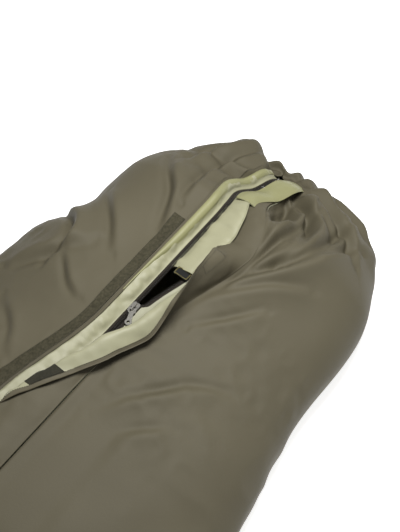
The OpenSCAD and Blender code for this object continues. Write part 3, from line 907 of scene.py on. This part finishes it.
# ---------------------------------------------------------------- storm flap
# It is one cloth, closed below and folded back beside the slider.
# Each key is a station and the section there: (y, z) steps from the flap's root, in mm, root first
FLAP_KEYS = [
    (-0.130, [(0, 0), (18, 7), (36, 9), (54, 7), (72, 4)]),
    (0.420, [(0, 0), (18, 7), (36, 9), (54, 7), (72, 4)]),
    (0.465, [(0, 0), (20, 8), (42, 11), (57, 11), (62, 14), (52, 16)]),
    (0.490, [(0, 0), (20, 8), (42, 11), (54, 12), (57, 15), (38, 16)]),
    (0.545, [(0, 0), (16, 9), (29, 13), (36, 17), (31, 21), (8, 15)]),
    (0.595, [(0, 0), (5, 13), (12, 22), (17, 27), (8, 29), (-15, 15)]),
    (0.644, [(0, 0), (6, 13), (8, 24), (4, 30), (-6, 29), (-24, 12)]),
    (0.682, [(0, 0), (8, 13), (12, 25), (10, 33), (0, 36), (-14, 26)]),
    (0.712, [(0, 0), (5, 15), (7, 29), (4, 40), (-3, 46), (-12, 47)]),
    (0.745, [(0, 0), (2, 15), (3, 30), (2, 43), (0, 53), (-1, 60)]),
    (0.780, [(0, 0), (2, 14), (5, 28), (8, 40), (11, 50), (13, 58)]),
    (0.820, [(0, 0), (3, 12), (8, 24), (15, 34), (24, 40), (34, 41)]),
    (0.850, [(0, 0), (8, 8), (18, 15), (29, 17), (41, 13), (52, 6)]),
    (0.885, [(0, 0), (12, 2), (25, 1), (38, -3), (50, -8), (62, -13)]),
    (0.945, [(0, 0), (10, 0), (22, -2), (34, -6), (44, -11), (52, -16)]),
    (1.045, [(0, -5), (4, -5), (8, -5), (12, -6), (16, -7), (20, -8)]),
]
FLAP_X = np.concatenate([stations(-0.130, 0.42, 0.009)[:-1], stations(0.42, 1.045, 0.0032)])


def flap_root(x):
    """Where the flap is sewn to the near panel, as (y, z)."""
    y = zip_y(x) - near_edge(x) + 0.0015 * (1 - 2 * smooth((x - 0.545) / 0.055))
    lift = 0.002 * (1 - smooth((x - 0.82) / 0.05))
    return y, np.where(x > 0.75, top_z(x, y), RIDGE_H) + lift


def flap_grid(count=31):
    key_x = np.array([k[0] for k in FLAP_KEYS])
    shapes = np.stack([even(spline(k[1], 80), count) for k in FLAP_KEYS]) / 1000
    rows = []
    for x in FLAP_X:
        k = int(np.clip(np.searchsorted(key_x, x) - 1, 0, len(key_x) - 2))
        before, after = max(k - 1, 0), min(k + 2, len(key_x) - 1)
        span = key_x[k + 1] - key_x[k]
        f = (x - key_x[k]) / span
        s0, s1 = shapes[k], shapes[k + 1]
        m0 = (s1 - shapes[before]) / (key_x[k + 1] - key_x[before])
        m1 = (shapes[after] - s0) / (key_x[after] - key_x[k])
        shape = (
            (2 * f**3 - 3 * f**2 + 1) * s0
            + (f**3 - 2 * f**2 + f) * span * m0
            + (3 * f**2 - 2 * f**3) * s1
            + (f**3 - f**2) * span * m1
        )
        y, z = flap_root(x)
        rows.append(np.column_stack([np.full(count, x), y + shape[:, 0], z + shape[:, 1]]))
    g = np.stack(rows)
    points = g.reshape(-1, 3)
    wrinkle = 0.0016 * noise(points / [0.8, 1.5, 1.5], 0.030, 21) + 0.0009 * noise(points, 0.014, 22)
    col = np.linspace(0, 1, count)[None, :]
    return g + grid_normals(g) * (wrinkle.reshape(g.shape[:2]) * smooth(col / 0.15))[..., None]


flap = flap_grid()
flap_obj = sheet("storm_flap_cloth", flap, ["OliveCloth", "Lining"], up=1, hem=3, body=None)
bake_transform(flap_obj)
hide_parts("flap_outer", "flap_lining", "flap_hem", "flap_upper")


def flap_patch(name, x, body, nodes):
    """A hook patch on the flap's underside. Returns its place in the flap's grid, and the normals."""
    nrm = grid_normals(flap)
    rows = np.where(np.abs(FLAP_X - x) <= 0.0245)[0]
    cols = np.arange(18, 28)
    g = flap[rows][:, cols] - nrm[rows][:, cols] * 0.0012
    obj = sheet(name, g, ["HookTape", "HookTape"], thick=0.0012, up=-1, body=body)
    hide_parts(*nodes)
    return rows, cols, nrm


for i, x in enumerate((0.512, 0.219, -0.074)):
    flap_patch(f"hook_patch_{i}", x, "storm_flap", ["hook_patches"])
rows, cols, nrm = flap_patch("hook_patch_upper", 0.805, "sack", ["upper_hook_patch"])
face = flap + nrm * 0.0009
box = [face[rows[0], cols], face[rows[-1], cols], face[rows, cols[0]], face[rows, cols[-1]]]
back = flap - nrm * 0.0009
move = FLAP_X < 0.545
stitches("flap_stitching_upper", box + [face[~move][:, -4], back[~move][:, -4]], "ThreadOlive")
stitches("flap_stitching_lower", [face[move][:, -4], back[move][:, -4]], "ThreadOlive", body="storm_flap")


# ---------------------------------------------------------------- seam tapes inside, metal parts
def seam_tape():
    """The tapes inside the sack, along the middle seam and along both side seams."""
    tape_x = SHELL_X[(SHELL_X > -1.0) & (SHELL_X < 1.0)][::2]
    g = np.array([[(x, y, 0) for y in (-0.010, 0.0, 0.010)] for x in tape_x])
    g = g[g[:, 0, 0] < CHAIN_START - 0.05]
    g[..., 2] = RIDGE_H - 0.0085 + 0.001 * noise(g.reshape(-1, 3), 0.05, 25).reshape(g.shape[:2])
    obj = sheet("center_tape", g, ["SeamTape", "SeamTape"], thick=0.0006, up=-1)
    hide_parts("center_seam_tape")
    for name, side in (("side_tape_near", -1), ("side_tape_far", 1)):
        rows = []
        for x in tape_x:
            w = float(BASE_SHARE * half_w(x, side)) - 0.008
            steps = ((w - 0.018, 0.0042), (w - 0.009, 0.0044), (w, 0.0046))
            rows.append([(x, side * y, z) for y, z in steps])
        obj = sheet(name, np.array(rows), ["SeamTape", "SeamTape"], thick=0.0006, up=side)
        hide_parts("side_seam_tape")


seam_tape()


def top_stop(y):
    """One crimped top stop: a short bar with rounded ends, closed around the end of the chain."""
    x0, z0 = CHAIN_END - 0.006, float(zip_z(CHAIN_END - 0.004)) + 0.0036
    verts, faces = [], []
    ring, rings = 16, 9
    for k in range(rings):
        a = math.pi * k / (rings - 1)
        r, dx = max(math.sin(a), 0.02) ** 0.4, 0.0022 * (1 - math.cos(a))
        for j in range(ring):
            t = 2 * math.pi * j / ring
            c, d = math.cos(t), math.sin(t)
            across = 0.0021 * r * math.copysign(abs(c) ** 0.6, c)
            above = 0.0015 * r * math.copysign(abs(d) ** 0.6, d)
            verts.append((x0 + dx, y + across, z0 + above))
    for k in range(rings - 1):
        for j in range(ring):
            n = (j + 1) % ring
            faces.append((k * ring + j, k * ring + n, (k + 1) * ring + n, (k + 1) * ring + j))
    faces.append(tuple(range(ring - 1, -1, -1)))
    faces.append(tuple((rings - 1) * ring + j for j in range(ring)))
    return verts, faces


for name, y in (("top_stop_near", -0.0032 - float(left_chain(CHAIN_END))), ("top_stop_far", 0.0032)):
    verts, faces = top_stop(y + float(zip_y(CHAIN_END - 0.004)))
    obj = make_object(name, verts, faces, ["Nickel"])
    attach(obj, "sack")
    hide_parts("zip_top_stops")

for node in ("slider_body", "pull_tab", "inner_pull_tab", "zip_bottom_stop"):
    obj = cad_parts[node]
    if obj.material_slots:
        for s in obj.material_slots:
            s.material = nickel
    else:
        obj.data.materials.append(nickel)
    bevel = obj.modifiers.new("soft_edges", "BEVEL")
    bevel.width = 0.0003
    bevel.segments = 2
    bevel.limit_method = "ANGLE"

# ---------------------------------------------------------------- floor, light, camera
floor_mat = bpy.data.materials.new("Floor")
floor_mat.use_nodes = True
floor_shader = floor_mat.node_tree.nodes["Principled BSDF"]
floor_shader.inputs["Base Color"].default_value = (0.95, 0.95, 0.95, 1)
floor_shader.inputs["Roughness"].default_value = 0.9
floor_shader.inputs["Emission Color"].default_value = (1, 1, 1, 1)
floor_shader.inputs["Emission Strength"].default_value = 0.76
bpy.ops.mesh.primitive_plane_add(size=24, location=(0, 0, -0.0004))
floor = bpy.context.object
floor.name = "floor"
floor.data.materials.append(floor_mat)

world = bpy.data.worlds.new("Studio")
bpy.context.scene.world = world
world.use_nodes = True
sky = world.node_tree.nodes["Background"]
sky.inputs["Color"].default_value = (1, 1, 1, 1)
sky.inputs["Strength"].default_value = 0.24


def area_light(name, location, aim, size, power):
    data = bpy.data.lights.new(name, "AREA")
    data.shape = "RECTANGLE"
    data.size, data.size_y = size
    data.energy = power
    light = bpy.data.objects.new(name, data)
    light.location = location
    light.rotation_mode = "QUATERNION"
    light.rotation_quaternion = (Vector(aim) - Vector(location)).to_track_quat("-Z", "Y")
    bpy.context.scene.collection.objects.link(light)


area_light("key", (0.93, -0.10, 1.25), (0.82, -0.02, 0.1), (0.4, 0.4), 17.5)

cam_data = bpy.data.cameras.new("camera")
cam_data.lens = 62
cam_data.sensor_width = 36
cam_data.clip_start = 0.05
camera = bpy.data.objects.new("camera", cam_data)
bpy.context.scene.collection.objects.link(camera)
target = Vector((0.838, -0.0145, 0.12))
az, el, distance = math.radians(-52.84), math.radians(56), 1.5
back = Vector((math.sin(az) * math.cos(el), -math.cos(az) * math.cos(el), math.sin(el)))
camera.location = target + back * distance
camera.rotation_mode = "QUATERNION"
camera.rotation_quaternion = (-back).to_track_quat("-Z", "Y")
bpy.context.scene.camera = camera
bpy.context.scene.view_settings.view_transform = "Standard"
